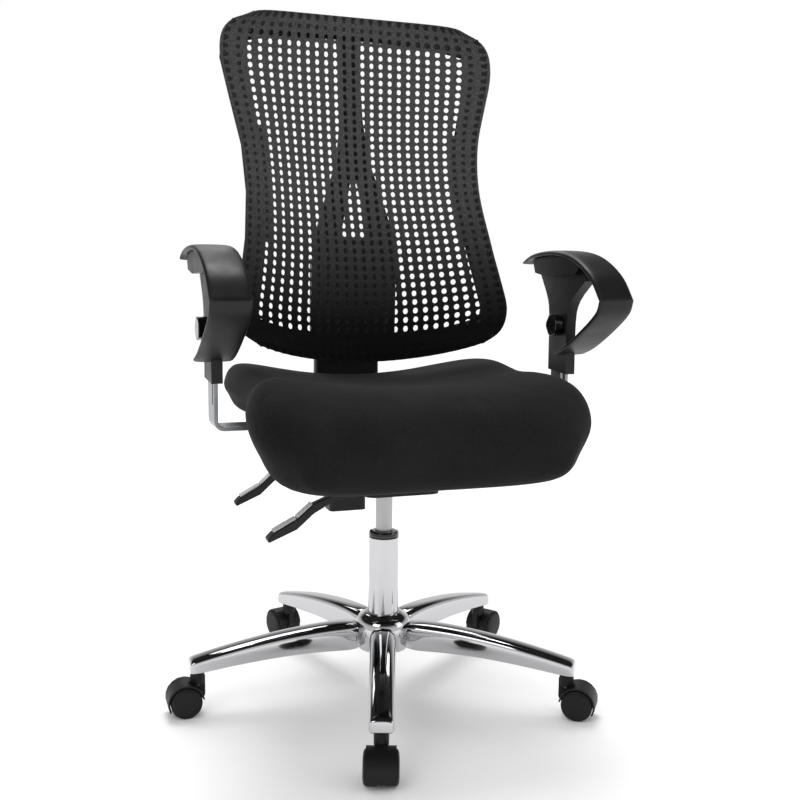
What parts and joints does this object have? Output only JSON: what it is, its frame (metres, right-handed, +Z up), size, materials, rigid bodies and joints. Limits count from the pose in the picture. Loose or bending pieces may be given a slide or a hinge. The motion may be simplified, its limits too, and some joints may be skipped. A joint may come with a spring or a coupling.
{
  "type": "swivel office chair",
  "caption": "Height-adjustable swivel office chair with a knit mesh back, shaped seat, loop armrests, chrome star base and twin-wheel casters.",
  "frame": {"origin": "on the floor, at the centre of the chair's bounding box; the swivel axis is 17.7 mm towards +X and 2.1 mm towards -Y of it", "axes": "+Z up, -Y the way the sitter faces, +X the sitter's left"},
  "size_m": [0.6873, 0.6996, 1.1456],
  "materials": {
    "chrome": "polished chrome plate",
    "satin_steel": "satin ground gas cylinder",
    "steel": "zinc-plated steel",
    "black_steel": "black powder coat",
    "gloss_plastic": "glossy moulded nylon",
    "black_plastic": "semi-matte moulded nylon",
    "grey_plastic": "satin grey inlay",
    "seat_fabric": "fine black weave over foam",
    "knit": "open black knit"
  },
  "bodies": {
    "base": {"star_base": "chrome", "column_tube": "chrome", "column_bush": "gloss_plastic"},
    "rod": {"piston_rod": "steel", "thrust_bearing": "steel"},
    "mechanism": {"gas_cylinder": "satin_steel", "mechanism_housing": "black_steel", "tension_spring": "steel", "seat_axle": "steel", "back_axle": "steel"},
    "release": {"release_button": "steel"},
    "lift_handle": {"lift_lever": "black_plastic", "lift_lever_inlay": "grey_plastic"},
    "tension": {"tension_knob": "black_plastic"},
    "seat": {"seat_carrier": "black_steel", "seat_pan": "black_plastic", "seat_cushion": "seat_fabric", "arm_bracket_left": "steel", "arm_bracket_right": "steel"},
    "back_arm": {"back_bar": "black_steel", "bar_cover": "black_plastic", "bar_end_cap": "black_plastic"},
    "tilt_handle": {"tilt_lever": "black_plastic", "tilt_lever_inlay": "grey_plastic"},
    "back": {"back_sleeve": "black_plastic", "back_spine": "black_plastic", "back_frame": "black_plastic", "back_mesh": "knit"},
    "arm_left": {"arm_upright_left": "black_plastic", "arm_loop_left": "black_plastic"},
    "arm_right": {"arm_upright_right": "black_plastic", "arm_loop_right": "black_plastic"},
    "knob_left": {"arm_knob_left": "gloss_plastic"},
    "knob_right": {"arm_knob_right": "gloss_plastic"},
    "caster_1": {"caster_stem_1": "steel", "caster_hood_1": "black_plastic", "caster_axle_1": "steel"},
    "caster_2": {"caster_stem_2": "steel", "caster_hood_2": "black_plastic", "caster_axle_2": "steel"},
    "caster_3": {"caster_stem_3": "steel", "caster_hood_3": "black_plastic", "caster_axle_3": "steel"},
    "caster_4": {"caster_stem_4": "steel", "caster_hood_4": "black_plastic", "caster_axle_4": "steel"},
    "caster_5": {"caster_stem_5": "steel", "caster_hood_5": "black_plastic", "caster_axle_5": "steel"},
    "wheel_a_1": {"caster_wheel_a_1": "black_plastic"},
    "wheel_a_2": {"caster_wheel_a_2": "black_plastic"},
    "wheel_a_3": {"caster_wheel_a_3": "black_plastic"},
    "wheel_a_4": {"caster_wheel_a_4": "black_plastic"},
    "wheel_a_5": {"caster_wheel_a_5": "black_plastic"},
    "wheel_b_1": {"caster_wheel_b_1": "black_plastic"},
    "wheel_b_2": {"caster_wheel_b_2": "black_plastic"},
    "wheel_b_3": {"caster_wheel_b_3": "black_plastic"},
    "wheel_b_4": {"caster_wheel_b_4": "black_plastic"},
    "wheel_b_5": {"caster_wheel_b_5": "black_plastic"}
  },
  "joints": [
    {"name": "seat_swivel", "type": "hinge", "parent": "base", "child": "rod", "pos_m": [0.0177, -0.0021, 0.1], "axis": [0, 0, 1], "continuous": true},
    {"name": "seat_lift", "type": "slide", "parent": "rod", "child": "mechanism", "axis": [0, 0, 1], "range_m": [-0.055, 0.065]},
    {"name": "release_press", "type": "slide", "parent": "mechanism", "child": "release", "axis": [0, 0, -1], "range_m": [0, 0.003]},
    {"name": "lift_lever_pull", "type": "hinge", "parent": "mechanism", "child": "lift_handle", "pos_m": [-0.0448, -0.0921, 0.3725], "axis": [0, 1, 0], "range_deg": [0, 12], "stiffness_Nm_per_rad": 1, "springref_deg": -4.58},
    {"name": "tension_turn", "type": "hinge", "parent": "mechanism", "child": "tension", "pos_m": [0.1047, -0.0421, 0.3765], "axis": [1, 0, 0], "range_deg": [-180, 180]},
    {"name": "seat_tilt", "type": "hinge", "parent": "mechanism", "child": "seat", "pos_m": [0.0177, -0.0871, 0.3935], "axis": [-1, 0, 0], "range_deg": [0, 8]},
    {"name": "back_tilt", "type": "hinge", "parent": "mechanism", "child": "back_arm", "pos_m": [0.0177, 0.0429, 0.3835], "axis": [-1, 0, 0], "range_deg": [0, 20]},
    {"name": "tilt_lever_pull", "type": "hinge", "parent": "back_arm", "child": "tilt_handle", "pos_m": [-0.0548, 0.1449, 0.3775], "axis": [0, 1, 0], "range_deg": [0, 12]},
    {"name": "back_height", "type": "slide", "parent": "back_arm", "child": "back", "axis": [0, 0, 1], "range_m": [0, 0.065]},
    {"name": "arm_height_left", "type": "slide", "parent": "seat", "child": "arm_left", "axis": [0, 0, 1], "range_m": [-0.012, 0.045]},
    {"name": "arm_height_right", "type": "slide", "parent": "seat", "child": "arm_right", "axis": [0, 0, 1], "range_m": [-0.012, 0.045]},
    {"name": "arm_knob_turn_left", "type": "hinge", "parent": "arm_left", "child": "knob_left", "pos_m": [0.3014, -0.0671, 0.6225], "axis": [1, 0, 0], "range_deg": [-180, 180]},
    {"name": "arm_knob_turn_right", "type": "hinge", "parent": "arm_right", "child": "knob_right", "pos_m": [-0.2836, -0.0671, 0.6225], "axis": [1, 0, 0], "range_deg": [-180, 180]},
    {"name": "caster_swivel_1", "type": "hinge", "parent": "base", "child": "caster_1", "pos_m": [-0.08542, -0.29657, 0.06], "axis": [0, 0, 1], "continuous": true},
    {"name": "caster_swivel_2", "type": "hinge", "parent": "base", "child": "caster_2", "pos_m": [0.26589, -0.19117, 0.06], "axis": [0, 0, 1], "continuous": true},
    {"name": "caster_swivel_3", "type": "hinge", "parent": "base", "child": "caster_3", "pos_m": [0.27421, 0.17552, 0.06], "axis": [0, 0, 1], "continuous": true},
    {"name": "caster_swivel_4", "type": "hinge", "parent": "base", "child": "caster_4", "pos_m": [-0.07196, 0.29674, 0.06], "axis": [0, 0, 1], "continuous": true},
    {"name": "caster_swivel_5", "type": "hinge", "parent": "base", "child": "caster_5", "pos_m": [-0.29422, 0.00498, 0.06], "axis": [0, 0, 1], "continuous": true},
    {"name": "wheel_roll_a_1", "type": "hinge", "parent": "caster_1", "child": "wheel_a_1", "pos_m": [-0.09203, -0.31544, 0.025], "axis": [0.9438, -0.3305, 0], "continuous": true},
    {"name": "wheel_roll_a_2", "type": "hinge", "parent": "caster_2", "child": "wheel_a_2", "pos_m": [0.2818, -0.20329, 0.025], "axis": [0.606, 0.7955, 0], "continuous": true},
    {"name": "wheel_roll_a_3", "type": "hinge", "parent": "caster_3", "child": "wheel_a_3", "pos_m": [0.29065, 0.1869, 0.025], "axis": [-0.5693, 0.8221, 0], "continuous": true},
    {"name": "wheel_roll_a_4", "type": "hinge", "parent": "caster_4", "child": "wheel_a_4", "pos_m": [-0.0777, 0.3159, 0.025], "axis": [-0.9578, -0.2874, 0], "continuous": true},
    {"name": "wheel_roll_a_5", "type": "hinge", "parent": "caster_5", "child": "wheel_a_5", "pos_m": [-0.31421, 0.00543, 0.025], "axis": [-0.0227, -0.9997, 0], "continuous": true},
    {"name": "wheel_roll_b_1", "type": "hinge", "parent": "caster_1", "child": "wheel_b_1", "pos_m": [-0.09203, -0.31544, 0.025], "axis": [0.9438, -0.3305, 0], "continuous": true},
    {"name": "wheel_roll_b_2", "type": "hinge", "parent": "caster_2", "child": "wheel_b_2", "pos_m": [0.2818, -0.20329, 0.025], "axis": [0.606, 0.7955, 0], "continuous": true},
    {"name": "wheel_roll_b_3", "type": "hinge", "parent": "caster_3", "child": "wheel_b_3", "pos_m": [0.29065, 0.1869, 0.025], "axis": [-0.5693, 0.8221, 0], "continuous": true},
    {"name": "wheel_roll_b_4", "type": "hinge", "parent": "caster_4", "child": "wheel_b_4", "pos_m": [-0.0777, 0.3159, 0.025], "axis": [-0.9578, -0.2874, 0], "continuous": true},
    {"name": "wheel_roll_b_5", "type": "hinge", "parent": "caster_5", "child": "wheel_b_5", "pos_m": [-0.31421, 0.00543, 0.025], "axis": [-0.0227, -0.9997, 0], "continuous": true}
  ],
  "couplings": [
    {"joint": "seat_tilt", "follows": "back_tilt", "ratio": 0.4},
    {"joint": "release_press", "follows": "lift_lever_pull", "m_per_rad": 0.0143}
  ]
}
